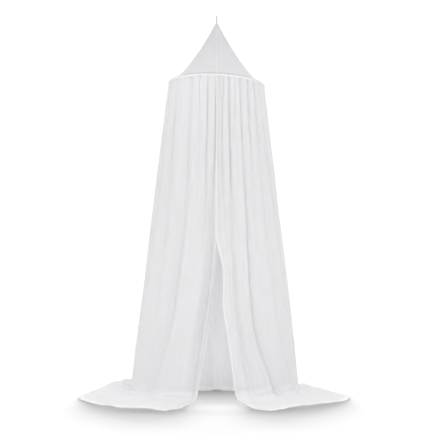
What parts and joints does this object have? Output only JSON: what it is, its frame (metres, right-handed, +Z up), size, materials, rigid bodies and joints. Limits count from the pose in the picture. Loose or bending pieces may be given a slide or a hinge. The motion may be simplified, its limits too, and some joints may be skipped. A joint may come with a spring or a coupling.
{
  "type": "mosquito net canopy with hoop",
  "caption": "White gathered cotton canopy hanging from a hoop, with a tent-shaped top, a front slit and a hem that spreads on the floor.",
  "frame": {"origin": "inside top of the hanging loop's eye, where it bears on the hook", "axes": "+Z up along the line it hangs on, -Y out through the front slit, +X to the right seen from the front"},
  "size_m": [1.4043, 1.0919, 2.0012],
  "materials": {
    "skirt_cloth": "matte white crinkled cotton muslin",
    "crown_cloth": "matte white cotton, stretched smooth",
    "casing_cloth": "matte white cotton binding",
    "hoop_plastic": "plain white plastic tube",
    "loop_tape": "matte white woven tape"
  },
  "bodies": {
    "root": {"skirt": "skirt_cloth", "crown": "crown_cloth", "hoop_casing": "casing_cloth", "hoop": "hoop_plastic", "hanging_loop": "loop_tape"}
  },
  "joints": []
}
